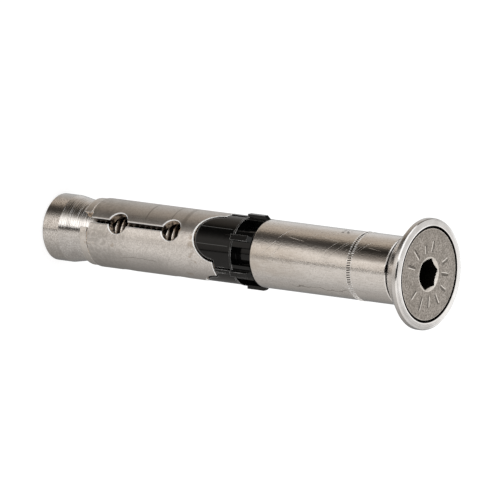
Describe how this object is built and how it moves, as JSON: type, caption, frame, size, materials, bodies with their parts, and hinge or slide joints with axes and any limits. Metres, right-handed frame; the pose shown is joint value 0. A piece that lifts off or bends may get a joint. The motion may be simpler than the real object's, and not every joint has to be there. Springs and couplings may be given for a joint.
{
  "type": "sleeve anchor",
  "caption": "Heavy-duty sleeve anchor with a countersunk socket head, spacer sleeve, plastic crush ring, slotted expansion sleeve and cone nut.",
  "frame": {"origin": "on the anchor's axis at the flat end of the cone nut, on which it stands", "axes": "+Z along the axis from the cone nut up to the screw head; -Y points out of the first slot of the expansion sleeve"},
  "size_m": [0.0237, 0.0236, 0.0963],
  "materials": {
    "turned_steel": "lathe-turned stainless steel, fine rings on the cone",
    "satin_steel": "satin stainless steel with handling marks",
    "black_plastic": "semi-gloss moulded plastic",
    "drawn_steel": "bright drawn stainless tube, faint lengthwise drawing lines",
    "polished_steel": "polished turned stainless steel",
    "forged_steel": "matt cold-forged stainless steel"
  },
  "bodies": {
    "nut": {"cone_nut": "turned_steel"},
    "sleeve": {"expansion_sleeve": "satin_steel", "crush_ring": "black_plastic"},
    "spacer": {"spacer_sleeve": "drawn_steel"},
    "washer": {"countersunk_washer": "polished_steel"},
    "screw": {"countersunk_screw": "forged_steel"}
  },
  "joints": [
    {"name": "nut_travel", "type": "slide", "parent": "nut", "child": "sleeve", "axis": [0, 0, 1], "range_m": [0, 0.0105]},
    {"name": "screw_turn", "type": "hinge", "parent": "sleeve", "child": "screw", "pos_m": [0, 0, 0.05], "axis": [0, 0, 1], "range_deg": [0, 2520]},
    {"name": "spacer_spin", "type": "hinge", "parent": "sleeve", "child": "spacer", "pos_m": [0, 0, 0.07], "axis": [0, 0, 1], "continuous": true},
    {"name": "washer_spin", "type": "hinge", "parent": "sleeve", "child": "washer", "pos_m": [0, 0, 0.093], "axis": [0, 0, 1], "continuous": true}
  ],
  "couplings": [
    {"joint": "screw_turn", "follows": "nut_travel", "rad_per_m": 4188.8}
  ]
}
